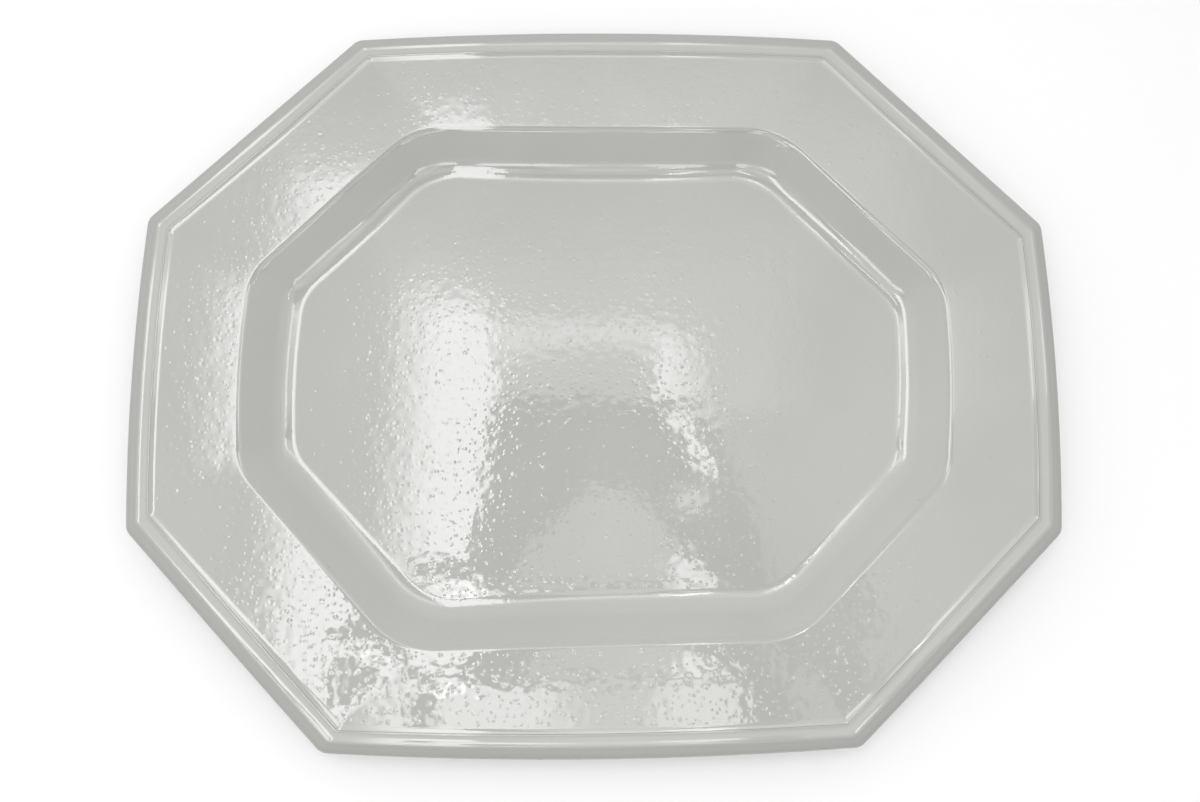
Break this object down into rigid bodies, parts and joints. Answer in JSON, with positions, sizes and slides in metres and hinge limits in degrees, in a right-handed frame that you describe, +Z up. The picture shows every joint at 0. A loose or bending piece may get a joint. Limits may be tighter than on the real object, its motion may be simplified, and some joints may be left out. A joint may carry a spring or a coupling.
{
  "type": "octagonal serving platter",
  "caption": "Long eight-sided white glazed ceramic serving platter with a flat border, moulded rim, shallow well and foot ring.",
  "frame": {"origin": "centre of the platter, on the surface that its foot ring stands on", "axes": "+X along the platter's length, +Y across its width, +Z up out of the well"},
  "size_m": [0.41, 0.328, 0.025],
  "materials": {
    "fired_clay": "matte",
    "white_glaze": "gloss"
  },
  "bodies": {
    "root": {"clay_body": "fired_clay", "face_glaze": "white_glaze", "base_glaze": "white_glaze"}
  },
  "joints": []
}
